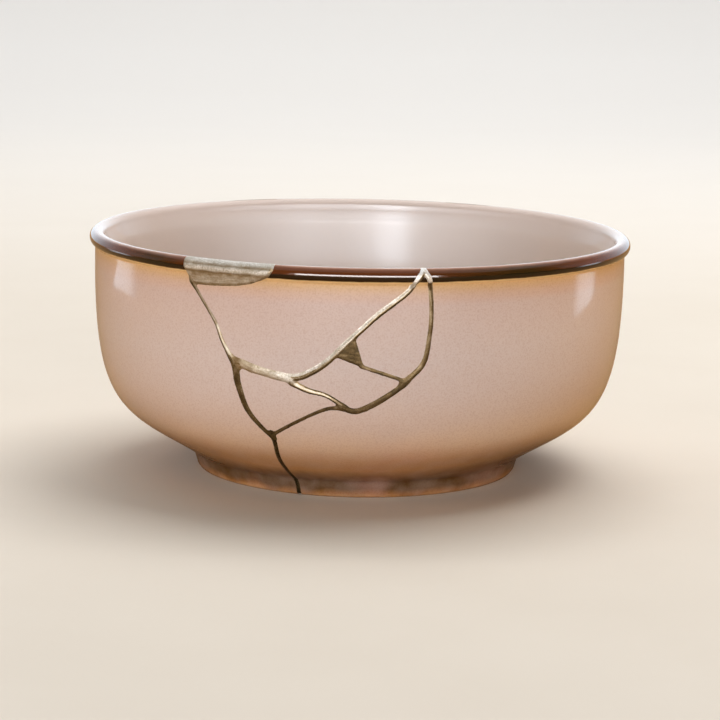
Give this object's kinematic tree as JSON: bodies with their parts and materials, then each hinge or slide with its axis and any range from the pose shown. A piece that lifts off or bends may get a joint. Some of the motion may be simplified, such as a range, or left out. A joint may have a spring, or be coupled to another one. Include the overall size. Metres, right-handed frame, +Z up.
{
  "type": "kintsugi bowl",
  "caption": "Deep round stoneware bowl on a foot ring, with a rolled lip, broken on one side and mended with raised silver lacquer seams.",
  "frame": {"origin": "centre of the foot ring, on the plane that the bowl stands on", "axes": "+Z up along the bowl's axis; -Y is the front, the mended side; +X to the right seen from the front"},
  "size_m": [0.155, 0.155, 0.0685],
  "materials": {
    "pink_glaze": "glossy pale pink glaze, dark brown on the lip",
    "silver_lacquer": "brushed silver powder on lacquer, champagne tone"
  },
  "bodies": {
    "root": {"bowl_body": "pink_glaze", "shard_rim": "pink_glaze", "shard_right": "pink_glaze", "shard_middle": "pink_glaze", "shard_lower": "pink_glaze", "silver_repair": "silver_lacquer"}
  },
  "joints": []
}
